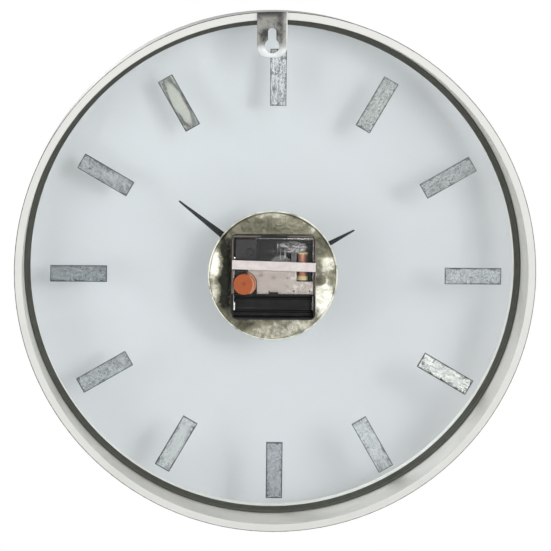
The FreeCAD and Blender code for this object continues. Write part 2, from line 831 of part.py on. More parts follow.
def make_centre_wheel():
    """Wheel driven by the third pinion, with the arbor that grips the minute pipe."""
    phase = meshing_phase(pinion_teeth, third_direction + 180, third_direction + 180,
                          centre_wheel_teeth)
    top = centre_wheel_depth + layer_thickness
    wheel = toothed_disc(centre_wheel_teeth, train_module, phase, arbor_place,
                         centre_wheel_depth, top)
    hub = pin(wheel_hub_radius, arbor_place, middle_plate_depth + layer_thickness + layer_gap,
              top)
    arbor = cylinder(centre_arbor_radius, arbor_place,
                     motion_layer_depth - centre_arbor_reach + layer_gap, top)
    hole = bore(pivot_radius + running_gap, pin_sides, arbor_place, middle_plate_depth,
                top + overrun)
    return joined(wheel, hub, arbor).cut(hole)


def make_third_wheel():
    phase = meshing_phase(pinion_teeth, third_direction, third_direction + 180,
                          third_wheel_teeth)
    wheel = toothed_disc(third_wheel_teeth, third_module, phase, third_place,
                         third_wheel_depth, third_wheel_depth + layer_thickness)
    pinion = toothed_disc(pinion_teeth, train_module, third_direction + 180, third_place,
                          centre_wheel_depth - layer_gap, third_wheel_depth)
    return joined(wheel, pinion, train_arbor(third_place, third_wheel_depth))


def make_seconds_wheel():
    """Seconds arbor, which runs in the centre wheel's bore and in the bridge."""
    phase = meshing_phase(pinion_teeth, intermediate_direction + 180,
                          intermediate_direction + 180, seconds_wheel_teeth)
    wheel = toothed_disc(seconds_wheel_teeth, seconds_module, phase, arbor_place,
                         seconds_wheel_depth, seconds_wheel_depth + layer_thickness)
    pinion = toothed_disc(pinion_teeth, third_module, third_direction, arbor_place,
                          third_wheel_depth - layer_gap, seconds_wheel_depth)
    return joined(wheel, pinion, train_arbor(arbor_place, seconds_wheel_depth))


def make_intermediate_wheel():
    phase = meshing_phase(pinion_teeth, rotor_direction + 180, rotor_direction + 180,
                          intermediate_wheel_teeth)
    wheel = toothed_disc(intermediate_wheel_teeth, train_module, phase, intermediate_place,
                         intermediate_wheel_depth, intermediate_wheel_depth + layer_thickness)
    pinion = toothed_disc(pinion_teeth, seconds_module, intermediate_direction + 180,
                          intermediate_place, seconds_wheel_depth - layer_gap,
                          intermediate_wheel_depth)
    return joined(wheel, pinion, train_arbor(intermediate_place, intermediate_wheel_depth))


def make_rotor_pinion():
    pinion = toothed_disc(pinion_teeth, train_module, rotor_direction + 180, rotor_place,
                          intermediate_wheel_depth - layer_gap, coil_depth)
    return joined(pinion, train_arbor(rotor_place, coil_depth))


def make_rotor_magnet():
    hole = bore(pivot_radius + press_gap, pin_sides, rotor_place, 0, case_depth)
    return cylinder(rotor_magnet_radius, rotor_place, coil_depth, magnet_top_depth).cut(hole)


def upright_barrel(corner_radius, z_low, z_high):
    """Many-sided barrel about the coil's axis."""
    ring = [polar((coil_x, coil_depth), corner_radius, number * 360 / pipe_sides)
            for number in range(pipe_sides)]
    corners = [FreeCAD.Vector(x, y, z_low) for x, y in ring]
    face = Part.Face(Part.makePolygon(corners + corners[:1]))
    return face.extrude(FreeCAD.Vector(0, 0, z_high - z_low))


def make_bobbin():
    """Flanged spool with a slot along its axis for the iron core."""
    low_z = coil_low_z - bobbin_low_flange
    high_z = coil_high_z + bobbin_high_flange
    stem = upright_barrel(bobbin_tube_radius, low_z, high_z)
    low_flange = upright_barrel(bobbin_flange_radius, low_z, coil_low_z)
    high_flange = upright_barrel(bobbin_flange_radius, coil_high_z, high_z)
    half_width = core_width / 2 + core_slot_gap
    half_thickness = core_thickness / 2 + core_slot_gap
    slot = block(coil_x - half_width, coil_x + half_width, coil_depth - half_thickness,
                 coil_depth + half_thickness, low_z - overrun, high_z + overrun)
    return joined(stem, low_flange, high_flange).cut(slot)


def make_winding():
    """Barrel of enamelled wire, whose turns are too fine to be cut one by one."""
    barrel = upright_barrel(coil_radius, coil_low_z, coil_high_z)
    return barrel.cut(upright_barrel(bobbin_tube_radius + press_gap, coil_low_z - overrun,
                                     coil_high_z + overrun))


def make_core():
    half_width, half_thickness = core_width / 2, core_thickness / 2
    return block(coil_x - half_width, coil_x + half_width, coil_depth - half_thickness,
                 coil_depth + half_thickness, core_low_z, core_high_z)


def make_stator():
    """Iron plate from the core's two ends to the eye round the rotor."""
    y_high = stator_depth + stator_thickness
    reach_x = coil_x - stator_arm_reach
    upper = block(reach_x, stator_limb_high_x, stator_depth, y_high,
                  core_high_z - stator_arm_width, core_high_z)
    limb = block(stator_limb_low_x, stator_limb_high_x, stator_depth, y_high,
                 rotor_place[1], core_high_z)
    lower = block(reach_x, rotor_place[0], stator_depth, y_high,
                  core_low_z, core_low_z + stator_arm_width)
    eye = pipe(stator_eye_radius, rotor_place, stator_depth, y_high)
    throat = block(stator_limb_high_x - stator_eye_radius / 2, rotor_place[0], stator_depth,
                   y_high, core_low_z, rotor_place[1])
    hole = bore(rotor_magnet_radius + stator_rotor_gap, pipe_sides, rotor_place,
                stator_depth - overrun, y_high + overrun)
    return joined(upper, limb, lower, eye, throat).cut(hole)


def make_board():
    return block(board_low_x, board_high_x, board_depth, board_top_depth,
                 board_low_z, board_high_z)


def make_chip():
    """Low round dome of black resin over the chip."""
    place = [across(share) for share in chip_places_share]
    dome = pipe(chip_radius, place, board_top_depth, board_top_depth + chip_height)
    top_edges = [edge for edge in dome.Edges
                 if edge.BoundBox.YMin > board_top_depth + chip_height / 2]
    return dome.makeChamfer(chip_height / 2, top_edges)


def make_crystal():
    """Crystal's can, which lies on the front of the board."""
    x, z = [across(share) for share in crystal_places_share]
    base = FreeCAD.Vector(x, board_depth - crystal_radius, z)
    return Part.makeCylinder(crystal_radius, crystal_length, base)


def contact_blade(side):
    x_low, x_high = sorted((side * strip_inner_x, side * strip_outer_x))
    return block(x_low, x_high, blade_low_depth, blade_high_depth, blade_low_z, blade_high_z)


def side_strip(side, z_high):
    x_low, x_high = sorted((side * strip_inner_x, side * strip_outer_x))
    return block(x_low, x_high, strip_low_depth, board_depth, blade_low_z, z_high)


def make_contact_plus():
    """Blade with a pressed button and a folded lip, and its strip up the wall to the board."""
    middle = FreeCAD.Vector(strip_inner_x - button_height,
                            (blade_low_depth + blade_high_depth) / 2, bay_centre_z)
    button = Part.makeCylinder(button_radius, button_height, middle, FreeCAD.Vector(1, 0, 0))
    lip = block(strip_inner_x - lip_width, strip_inner_x, blade_high_depth - contact_thickness,
                blade_high_depth, blade_low_z, blade_high_z)
    foot_z = board_low_z + post_radius
    foot = block(board_high_x + seat_gap, strip_outer_x, strip_low_depth,
                 board_top_depth, board_low_z, foot_z)
    return joined(contact_blade(1), lip, side_strip(1, foot_z), button, foot)


def make_contact_minus():
    """Bowed leaf in the bay, and the strip round the side and the top to the board."""
    low = FreeCAD.Vector(-strip_inner_x, blade_low_depth, blade_low_z)
    high = FreeCAD.Vector(-strip_inner_x, blade_high_depth, blade_low_z)
    bow = FreeCAD.Vector(-strip_inner_x + leaf_height,
                         (blade_low_depth + blade_high_depth) / 2, blade_low_z)
    face = Part.Face(Part.Wire([Part.Arc(low, bow, high).toShape(),
                                Part.LineSegment(high, low).toShape()]))
    leaf = face.extrude(FreeCAD.Vector(0, 0, blade_high_z - blade_low_z))
    top_low_z = top_strip_z - contact_thickness
    tail_x = board_low_x + post_radius
    top = block(-strip_outer_x, tail_x, strip_low_depth, board_depth, top_low_z, top_strip_z)
    tail = block(tail_x - post_radius / 2, tail_x, strip_low_depth, board_top_depth,
                 top_low_z, top_strip_z)
    return joined(contact_blade(-1), leaf, side_strip(-1, top_strip_z), top, tail)


def moulded_nodes():
    """Pieces placed from the movement's arbor and front face."""
    return {
        "hub_disc": make_hub_disc(),
        "centre_bush": make_bush(),
        "rubber_washer": make_washer(rubber_washer_radius, rubber_depth,
                                     rubber_washer_thickness),
        "brass_washer": make_washer(brass_washer_radius, washer_depth,
                                    brass_washer_thickness),
        "hex_nut": make_hex_nut(),
        "hour_hand": make_hand(hour_hand_length, hour_hand_angle,
                               hour_pipe_radius + press_gap, hour_hand_depth),
        "minute_hand": make_hand(minute_hand_length, minute_hand_angle,
                                 minute_tip_radius + press_gap, minute_hand_depth),
        "hand_nut": make_hand_nut(),
        "movement_case": make_case(),
        "clear_cover": make_cover(),
        "label_strip": make_label(),
        "setting_knob": make_knob(),
        "middle_plate": make_middle_plate(),
        "train_bridge": make_bridge(),
        "minute_arbor": make_minute_arbor(),
        "reverser_wheel": make_reverser(),
        "hour_wheel": make_hour_wheel(),
        "centre_wheel": make_centre_wheel(),
        "third_wheel": make_third_wheel(),
        "seconds_wheel": make_seconds_wheel(),
        "intermediate_wheel": make_intermediate_wheel(),
        "rotor_pinion": make_rotor_pinion(),
        "rotor_magnet": make_rotor_magnet(),
        "coil_bobbin": make_bobbin(),
        "coil_winding": make_winding(),
        "coil_core": make_core(),
        "stator": make_stator(),
        "circuit_board": make_board(),
        "clock_chip": make_chip(),
        "quartz_crystal": make_crystal(),
        "contact_plus": make_contact_plus(),
        "contact_minus": make_contact_minus(),
    }


def frame_nodes():
    """Pieces placed from the hoop's own axis."""
    nodes = {
        "hoop": make_hoop(),
        "glass_pane": make_glass(),
        "glass_gasket": make_gasket(),
        "hanger_tab": make_hanger_tab(),
    }
    marker = make_marker()
    film = make_film()
    hours = range(1, marker_count + 1)
    for hour in hours:
        nodes["hour_marker_%02d" % hour] = at_hour(marker, hour)
    nodes["marker_adhesive"] = Part.makeCompound([at_hour(film, hour) for hour in hours])
    return nodes


def main():
    os.makedirs("parts", exist_ok=True)
    nodes = frame_nodes()
    for name, solid in moulded_nodes().items():
        nodes[name] = on_case(solid)
    for name, solid in nodes.items():
        solid.exportStep(os.path.join("parts", name + ".step"))


main()
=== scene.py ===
import bpy
import bmesh
import math
from mathutils import Matrix, Vector, noise


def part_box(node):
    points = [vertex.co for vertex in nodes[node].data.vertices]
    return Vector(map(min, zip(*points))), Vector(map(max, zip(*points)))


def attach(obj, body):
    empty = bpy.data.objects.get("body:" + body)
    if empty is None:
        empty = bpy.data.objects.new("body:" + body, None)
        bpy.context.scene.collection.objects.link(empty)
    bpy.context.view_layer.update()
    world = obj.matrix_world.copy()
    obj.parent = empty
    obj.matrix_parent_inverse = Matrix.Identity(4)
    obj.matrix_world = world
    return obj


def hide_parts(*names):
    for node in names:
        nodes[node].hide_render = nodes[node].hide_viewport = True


# Dressed wall clock seen from behind: materials, fine surface detail, lamps and camera.
# The frame is in metres. Lengths below are in millimetres and MM turns them into metres.

MM = 0.001
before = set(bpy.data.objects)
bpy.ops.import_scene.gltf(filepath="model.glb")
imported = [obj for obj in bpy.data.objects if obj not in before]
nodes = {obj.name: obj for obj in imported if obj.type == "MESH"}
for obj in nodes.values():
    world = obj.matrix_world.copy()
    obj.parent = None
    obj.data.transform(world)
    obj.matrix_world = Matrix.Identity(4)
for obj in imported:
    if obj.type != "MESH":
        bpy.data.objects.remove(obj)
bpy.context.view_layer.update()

# Camera at the photograph's place, aimed at a point on the hoop's rear plane
IMAGE_WIDTH = 551
SENSOR_WIDTH = 36.0
FOCAL_PIXELS = 3405.4
VIEW_DISTANCE = 2227.8
VIEW_AZIMUTH = 2.429
VIEW_ELEVATION = 5.485
VIEW_ROLL = 0.631
VIEW_TARGET_X = 0.238
VIEW_TARGET_Z = -1.178
CAMERA_REACH = 20000.0

# How every piece is finished: seams closed, edges sharper than this angle rounded
WELD_DISTANCE = 0.0005
BEVEL_ANGLE = 32

# How far one seed moves a noise, and where an oval's fade starts and ends
SEED_SHIFT = (17.3, 9.7, 13.1)
OVAL_EDGE, OVAL_CORE = 1.0, 0.4

# Places that several materials share, read from the frame
HOOP_LOW, HOOP_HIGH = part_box("hoop")
HOOP_RADIUS = HOOP_HIGH.x / MM
HOOP_REAR = HOOP_HIGH.y / MM
DISC_LOW, DISC_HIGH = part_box("hub_disc")
DISC_RADIUS = (DISC_HIGH.x - DISC_LOW.x) / 2 / MM
DIAL_Z = (DISC_HIGH.z + DISC_LOW.z) / 2 / MM
CASE_LOW, CASE_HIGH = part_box("movement_case")
CASE_HALF = (CASE_HIGH.x - CASE_LOW.x) / 2 / MM
WINDING_LOW, WINDING_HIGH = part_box("coil_winding")


def rgb(red, green, blue):
    """Linear colour of an 8-bit display colour."""
    def linear(value):
        share = value / 255
        return share / 12.92 if share < 0.04045 else ((share + 0.055) / 1.055) ** 2.4
    return (linear(red), linear(green), linear(blue), 1.0)


class Paint:
    """Node material round one Principled shader, with places in millimetres."""

    def __init__(self, name, color, roughness, metallic=0.0):
        self.material = bpy.data.materials.new(name)
        self.material.use_nodes = True
        self.tree = self.material.node_tree
        self.shader = self.tree.nodes["Principled BSDF"]
        self.output = self.tree.nodes["Material Output"]
        self.set("Base Color", color)
        self.set("Roughness", roughness)
        self.set("Metallic", metallic)

    def feed(self, socket, value):
        """Link a socket, or give it a constant."""
        if isinstance(value, bpy.types.NodeSocket):
            self.tree.links.new(value, socket)
        else:
            socket.default_value = value

    def set(self, name, value):
        """Feed an input of the Principled shader."""
        self.feed(self.shader.inputs[name], value)

    def add(self, kind, inputs=(), **settings):
        """New node with its settings and inputs."""
        node = self.tree.nodes.new(kind)
        for key, value in settings.items():
            setattr(node, key, value)
        for key, value in dict(inputs).items():
            self.feed(node.inputs[key], value)
        return node

    def place(self, stretch=(1, 1, 1), seed=0):
        """Place on the object in millimetres, squeezed by the stretch and moved by the seed."""
        source = self.add("ShaderNodeTexCoord").outputs["Object"]
        factors = [share / MM for share in stretch]
        shift = [seed * step for step in SEED_SHIFT]
        return self.add("ShaderNodeVectorMath", {0: source, 1: factors, 2: shift},
                        operation="MULTIPLY_ADD").outputs["Vector"]

    def axis(self, name):
        """Place along X, Y or Z in millimetres."""
        return self.add("ShaderNodeSeparateXYZ", {0: self.place()}).outputs[name]

    def noise(self, scale, detail, rough=0.5, warp=0.0, stretch=(1, 1, 1), seed=0):
        """Soft noise from 0 to 1 with scale waves per millimetre."""
        return self.add("ShaderNodeTexNoise", {
            "Vector": self.place(stretch, seed), "Scale": scale, "Detail": detail,
            "Roughness": rough, "Distortion": warp}).outputs["Fac"]

    def calc(self, operation, first, second=0.0, clamp=False):
        """One step of arithmetic."""
        return self.add("ShaderNodeMath", {0: first, 1: second}, operation=operation,
                        use_clamp=clamp).outputs["Value"]

    def fade(self, value, low, high, start=0.0, end=1.0):
        """Smooth step from start at low to end at high."""
        return self.add("ShaderNodeMapRange", {
            "Value": value, "From Min": low, "From Max": high, "To Min": start,
            "To Max": end}, interpolation_type="SMOOTHSTEP").outputs["Result"]

    def band(self, value, low, high, soft):
        """1 between low and high, with soft sides."""
        rise = self.fade(value, low - soft, low + soft)
        fall = self.fade(value, high - soft, high + soft, 1.0, 0.0)
        return self.calc("MULTIPLY", rise, fall)

    def mix(self, share, first, second):
        """Colour between two colours."""
        return self.add("ShaderNodeMix", {0: share, 6: first, 7: second},
                        data_type="RGBA").outputs[2]

    def bump(self, height, depth, strength):
        """Relief of a height from 0 to 1 over a depth in millimetres."""
        normal = self.add("ShaderNodeBump", {
            "Height": height, "Distance": depth * MM, "Strength": strength}).outputs["Normal"]
        self.set("Normal", normal)

    def radius(self, centre_x=0.0, centre_z=0.0):
        """Distance from a line along Y, in millimetres."""
        x = self.calc("SUBTRACT", self.axis("X"), centre_x)
        z = self.calc("SUBTRACT", self.axis("Z"), centre_z)
        squares = self.calc("ADD", self.calc("MULTIPLY", x, x), self.calc("MULTIPLY", z, z))
        return self.calc("SQRT", squares)

    def apart(self, x, z, place, half):
        """Square of the distance from an oval's middle, 1 at its edge."""
        off_x = self.calc("DIVIDE", self.calc("SUBTRACT", x, place[0]), half[0])
        off_z = self.calc("DIVIDE", self.calc("SUBTRACT", z, place[1]), half[1])
        return self.calc("ADD", self.calc("MULTIPLY", off_x, off_x),
                         self.calc("MULTIPLY", off_z, off_z))

    def oval(self, x, z, place, half):
        """1 in the middle of an oval, falling to 0 at its edge."""
        return self.fade(self.apart(x, z, place, half), OVAL_EDGE, OVAL_CORE)

    def passes_light(self, tint, surface=None):
        """Shadow rays go straight through, so that lamps light what lies behind."""
        path = self.add("ShaderNodeLightPath").outputs["Is Shadow Ray"]
        straight = self.add("ShaderNodeBsdfTransparent", {"Color": tint}).outputs[0]
        joint = self.add("ShaderNodeMixShader", {
            0: path, 1: surface or self.shader.outputs[0], 2: straight})
        self.feed(self.output.inputs["Surface"], joint.outputs[0])
        return self


def dress(name, paint, bevel=0.0, segments=2):
    """Give a CAD node its material, rounded edges and smooth shading."""
    piece = nodes[name]
    piece.data.materials.clear()
    piece.data.materials.append(paint.material)
    round_off(piece, bevel, segments)


def round_off(piece, bevel, segments):
    """Round the sharp edges by a bevel in millimetres and shade the rest smoothly."""
    weld = piece.modifiers.new("weld", "WELD")
    weld.merge_threshold = WELD_DISTANCE * MM
    if bevel:
        rounding = piece.modifiers.new("round", "BEVEL")
        rounding.width = bevel * MM
        rounding.segments = segments
        rounding.limit_method = "ANGLE"
        rounding.angle_limit = math.radians(BEVEL_ANGLE)
        rounding.use_clamp_overlap = True
    shading = piece.modifiers.new("shade", "WEIGHTED_NORMAL")
    shading.keep_sharp = True
    for polygon in piece.data.polygons:
        polygon.use_smooth = True


def make_piece(name, mesh_builder, paint, body, replaced):
    """Scene piece that rides on a body and stands in for CAD nodes."""
    mesh = bpy.data.meshes.new(name)
    shape = bmesh.new()
    mesh_builder(shape)
    bmesh.ops.recalc_face_normals(shape, faces=shape.faces)
    shape.to_mesh(mesh)
    shape.free()
    mesh.materials.append(paint.material)
    piece = bpy.data.objects.new(name, mesh)
    bpy.context.scene.collection.objects.link(piece)
    for polygon in mesh.polygons:
        polygon.use_smooth = True
    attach(piece, body)
    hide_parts(*replaced)


def lathe(shape, rings, around, to_place):
    """Closed surface of rings of (radius, depth), each place made by to_place."""
    loops = []
    for radius, depth in rings:
        loop = []
        for step in range(around):
            angle = 2 * math.pi * step / around
            loop.append(shape.verts.new(to_place(radius, depth, angle)))
        loops.append(loop)
    for first, second in zip(loops, loops[1:] + loops[:1]):
        for step in range(around):
            ahead = (step + 1) % around
            shape.faces.new((first[step], first[ahead], second[ahead], second[step]))


def middle(name):
    """X and Z of a node's middle in millimetres."""
    low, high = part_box(name)
    return (low.x + high.x) / 2 / MM, (low.z + high.z) / 2 / MM


# Hoop, pane and hanger; each pair is where a fade starts and ends, from the edge it names

HOOP_FACE = (0.9, 0.2)
HOOP_LIP = (0.75, 0.25)
HOOP_CHIP_EDGE = 0.12
HOOP_CHIP_REACH = 0.9
HOOP_DARK_END = (3.0, 0.6)
TAB_PALE = (14.0, 7.5)
TAB_CROWN = (-1.6, 2.4)
TAB_WORN_SIDE = (4.5, 0.8)
TAB_HIGHLIGHT_EDGE = (0.9, 0.4)
TAB_RAGGED = 6.0


def paint_hoop():
    """Off-white satin paint, worn to grey metal along the outer edge, with painted shade on the
    inner wall.
    """
    p = Paint("hoop_paint", rgb(224, 225, 220), 0.42)
    cloud = p.noise(0.035, 4, 0.6)
    rear = p.mix(cloud, rgb(208, 208, 203), rgb(226, 227, 223))
    # Painted shade: the inner wall gets a darker copy of the rear face's paint.
    inside = p.fade(p.axis("Y"), HOOP_REAR - HOOP_FACE[0], HOOP_REAR - HOOP_FACE[1])
    inner = p.mix(cloud, rgb(204, 203, 195), rgb(216, 215, 208))
    color = p.mix(inside, inner, rear)
    chips = p.calc("MULTIPLY", p.noise(0.5, 4, 0.7, seed=2), HOOP_CHIP_REACH)
    chip_line = p.calc("ADD", p.radius(), chips)
    lip = p.fade(p.radius(), HOOP_RADIUS - HOOP_LIP[0], HOOP_RADIUS - HOOP_LIP[1], 0.0, 0.75)
    color = p.mix(lip, color, rgb(96, 96, 92))
    worn = p.fade(chip_line, HOOP_RADIUS - HOOP_CHIP_EDGE, HOOP_RADIUS + HOOP_CHIP_EDGE)
    brushed = p.noise(0.9, 4, 0.7, stretch=(0.12, 1, 0.12), seed=22)
    bare = p.mix(p.fade(brushed, 0.35, 0.65), rgb(118, 118, 114), rgb(160, 160, 156))
    near_edge = p.fade(p.calc("ABSOLUTE", p.axis("Y")), HOOP_REAR - HOOP_DARK_END[0],
                       HOOP_REAR - HOOP_DARK_END[1])
    color = p.mix(worn, color, p.mix(near_edge, bare, rgb(74, 74, 70)))
    scratch = p.noise(1.2, 3, 0.7, stretch=(1, 0.06, 1), seed=3)
    p.set("Base Color", color)
    p.set("Roughness", p.fade(cloud, 0.2, 0.8, 0.34, 0.5))
    p.bump(p.calc("ADD", p.calc("MULTIPLY", p.noise(1.6, 2), 0.5), scratch), 0.03, 0.5)
    return p


def paint_glass():
    """Clear pane with faint smears."""
    p = Paint("pane_glass", rgb(249, 251, 252), 0.0)
    p.set("Transmission Weight", 1.0)
    p.set("IOR", 1.16)
    smear = p.noise(0.012, 4, 0.6, warp=1.0)
    p.set("Roughness", p.fade(smear, 0.45, 0.85, 0.0, 0.06))
    return p.passes_light(rgb(248, 251, 252))


def paint_gasket():
    """Dusty black rubber."""
    p = Paint("bead_rubber", rgb(62, 64, 58), 0.62)
    grime = p.noise(0.2, 4, 0.65)
    p.set("Base Color", p.mix(grime, rgb(52, 54, 49), rgb(84, 86, 78)))
    p.bump(p.noise(1.4, 3), 0.06, 0.6)
    return p


def paint_tab():
    """Heat-stained steel, dark above and bleached towards the low end, with a painted highlight
    along its low-X edge.
    """
    low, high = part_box("hanger_tab")
    low_x, low_z, high_z = low.x / MM, low.z / MM, high.z / MM
    p = Paint("tab_steel", rgb(110, 104, 96), 0.45, 0.55)
    mottle = p.noise(0.10, 5, 0.62, warp=0.2, seed=21)
    stain = p.mix(p.fade(mottle, 0.38, 0.66), rgb(20, 19, 18), rgb(130, 130, 125))
    height = p.calc("ADD", p.axis("Z"), p.calc("MULTIPLY", mottle, TAB_RAGGED))
    pale = p.fade(height, low_z + TAB_PALE[0], low_z + TAB_PALE[1])
    color = p.mix(pale, stain, rgb(164, 166, 166))
    crown = p.fade(height, high_z + TAB_CROWN[0], high_z + TAB_CROWN[1], 0.0, 0.9)
    color = p.mix(crown, color, rgb(24, 22, 20))
    worn_side = p.fade(p.axis("X"), low_x + TAB_WORN_SIDE[0], low_x + TAB_WORN_SIDE[1],
                       0.0, 0.28)
    color = p.mix(worn_side, color, rgb(176, 177, 173))
    # Painted highlight: a bright strip along the tab's low-X edge.
    side = p.fade(p.axis("X"), low_x + TAB_HIGHLIGHT_EDGE[0], low_x + TAB_HIGHLIGHT_EDGE[1])
    p.set("Base Color", p.mix(side, color, rgb(190, 191, 188)))
    p.set("Roughness", p.fade(mottle, 0.3, 0.7, 0.32, 0.55))
    p.bump(p.noise(0.9, 4, 0.7), 0.05, 0.7)
    return p


# Bars by dial hour: dull and bright colours, then shares of flakes, grime, outline and core

MARKER_LOOKS = {
    1: ((74, 76, 72), (158, 158, 148), 0.60, 1.00, 1.0, 1.0),
    2: ((96, 99, 99), (160, 162, 162), 0.55, 0.75, 0.8, 0.0),
    3: ((74, 80, 82), (128, 134, 135), 0.40, 0.95, 0.8, 0.0),
    4: ((104, 108, 107), (160, 164, 163), 0.25, 0.60, 0.7, 0.0),
    5: ((116, 120, 120), (186, 190, 188), 0.45, 0.85, 0.9, 0.50),
    6: ((90, 91, 97), (154, 156, 160), 0.45, 0.95, 0.9, 0.25),
    7: ((124, 127, 127), (186, 189, 189), 0.50, 0.60, 0.7, 0.3),
    8: ((96, 95, 91), (222, 222, 216), 1.00, 1.00, 0.9, 0.35),
    9: ((116, 119, 118), (172, 175, 174), 0.30, 0.75, 0.7, 0.0),
    10: ((100, 103, 102), (156, 159, 157), 0.45, 0.60, 0.7, 0.0),
    11: ((102, 105, 101), (164, 166, 161), 0.60, 0.80, 0.7, 0.0),
    12: ((66, 70, 69), (182, 184, 184), 1.00, 0.70, 0.6, 0.0),
}
MARKER_COUNT = len(MARKER_LOOKS)
MARKER_BEVEL = 0.18
# On a bar, first across it and then along it, from its middle: streaks per millimetre, the
# bright core and the dark moat round it
STREAK_SCALE = (0.8, 0.09)
CORE_PLACE, CORE_HALF = (0.5, 0.0), (4.6, 19.5)
MOAT_PLACE, MOAT_HALF = (0.6, -0.4), (6.2, 23.5)
# The grimy edge, how much longer a bar is than wide (each half), and the dark outline
GRIME_EDGE = (4.9, 5.5)
GRIME_RAGGED = 13.0
LENGTH_OVER_WIDTH = 13.4
LINE_ACROSS = (4.7, 5.1)
LINE_ALONG = (18.15, 18.55)


def paint_marker(hour, across, along):
    """Dull silver back with flakes, crackle and a grimy edge; across and along are unit axes."""
    dark, light, flakes, grime, outline, core = MARKER_LOOKS[hour]
    low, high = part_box("hour_marker_%02d" % hour)
    centre = (low + high) / 2 / MM
    p = Paint("marker_%02d" % hour, rgb(*dark), 0.45, 0.15)
    p.set("Specular IOR Level", 0.3)
    offset = p.add("ShaderNodeVectorMath", {0: p.place(), 1: centre},
                   operation="SUBTRACT").outputs["Vector"]
    side = p.add("ShaderNodeVectorMath", {0: offset, 1: across},
                 operation="DOT_PRODUCT").outputs["Value"]
    run = p.add("ShaderNodeVectorMath", {0: offset, 1: along},
                operation="DOT_PRODUCT").outputs["Value"]
    cloud = p.fade(p.noise(0.12, 4, 0.6, seed=hour), 0.38, 0.62)
    streak_at = p.add("ShaderNodeCombineXYZ", {
        0: p.calc("MULTIPLY", side, STREAK_SCALE[0]),
        1: p.calc("MULTIPLY", run, STREAK_SCALE[1]), 2: float(hour)}).outputs[0]
    streak = p.add("ShaderNodeTexNoise", {
        "Vector": streak_at, "Scale": 1.0, "Detail": 6.0, "Roughness": 0.75,
        "Distortion": 1.0}).outputs["Fac"]
    base = p.mix(cloud, rgb(*dark), rgb(*[(a + b) // 2 for a, b in zip(dark, light)]))
    wear = p.fade(p.noise(0.45, 6, 0.85, warp=0.4, seed=hour + 40), 0.46, 0.54, 0.0, 0.85)
    base = p.mix(wear, base, rgb(*light))
    flake = p.calc("MULTIPLY", p.fade(streak, 0.47, 0.52), flakes)
    color = p.mix(flake, base, rgb(*light))
    speck = p.fade(p.noise(0.8, 5, 0.8, seed=hour + 60), 0.55, 0.59, 0.0, 0.75)
    color = p.mix(speck, color, rgb(40, 42, 42))
    stain = p.fade(p.noise(0.20, 5, 0.75, warp=0.6, seed=hour + 20), 0.54, 0.62)
    color = p.mix(p.calc("MULTIPLY", stain, 0.85 * flakes), color, rgb(56, 58, 58))
    cut = p.calc("MULTIPLY", p.band(streak, 0.435, 0.465, 0.01), flakes)
    color = p.mix(p.calc("MULTIPLY", cut, 0.95), color, rgb(22, 23, 23))
    bent = p.calc("ADD", side, cloud)
    if core == 1.0:
        moat = p.oval(bent, run, MOAT_PLACE, MOAT_HALF)
        color = p.mix(moat, color, rgb(28, 29, 27))
    oval = p.oval(bent, run, CORE_PLACE, CORE_HALF)
    color = p.mix(p.calc("MULTIPLY", oval, core), color, rgb(*light))
    edge_side = p.calc("ABSOLUTE", side)
    edge_run = p.calc("ABSOLUTE", run)
    uneven = p.calc("SUBTRACT", p.noise(0.2, 6, 0.75, seed=hour), 0.5)
    ragged = p.calc("MULTIPLY", uneven, GRIME_RAGGED)
    rim = p.calc("MAXIMUM", edge_side, p.calc("SUBTRACT", edge_run, LENGTH_OVER_WIDTH))
    rim = p.fade(p.calc("ADD", rim, ragged), *GRIME_EDGE)
    color = p.mix(p.calc("MULTIPLY", rim, grime), color, rgb(34, 36, 36))
    line = p.calc("MAXIMUM", p.fade(edge_side, *LINE_ACROSS), p.fade(edge_run, *LINE_ALONG))
    color = p.mix(p.calc("MULTIPLY", line, outline), color, rgb(30, 32, 32))
    p.set("Base Color", color)
    p.set("Roughness", p.fade(streak, 0.3, 0.7, 0.3, 0.55))
    p.bump(streak, 0.12, 0.8)
    return p


def paint_film():
    """Clear glue film, cloudy where it has let go."""
    p = Paint("glue_film", rgb(206, 210, 210), 0.25)
    cloud = p.fade(p.noise(0.35, 5, 0.7, warp=0.8), 0.45, 0.75)
    p.set("Alpha", p.fade(cloud, 0.0, 1.0, 0.04, 0.30))
    p.bump(cloud, 0.05, 0.6)
    return p


def dress_markers():
    """Each bar gets its own paint, laid out along its own length."""
    for hour in range(1, MARKER_COUNT + 1):
        turn = 2 * math.pi * hour / MARKER_COUNT
        along = (math.sin(turn), 0, math.cos(turn))
        across = (math.cos(turn), 0, -math.sin(turn))
        dress("hour_marker_%02d" % hour, paint_marker(hour, across, along), MARKER_BEVEL)
    dress("marker_adhesive", paint_film())


# Hub disc

DISC_RIM_WIDTH = 1.3
DISC_SINK = 0.28
DISC_RELIEF = 0.16
DISC_RINGS = 44
DISC_AROUND = 240
DISC_HOLE = 4.15
DISC_SLACK = 0.01
# Height over the front face below which nothing is uneven, and the waves of the rear face:
# waves per millimetre, layer of the noise and share
DISC_FLAT = 0.5
DISC_WAVES = ((0.16, 3.0, 1.0), (0.5, 9.0, 0.5))
# The raised bead: distance in from the edge and down from the rear face
DISC_BEAD = ((1.1, 0.10), (0.75, 0.0), (0.35, 0.04), (0.05, 0.30), (0.0, 0.75))
# The front edge: distance in from the edge and up from the front face
DISC_FRONT_EDGE = ((0.15, 0.2), (0.4, 0.0))
DISC_FRONT_FADE = (0.35, 0.15)
DISC_RIM_HIGHLIGHT = (-0.9, 1.0)
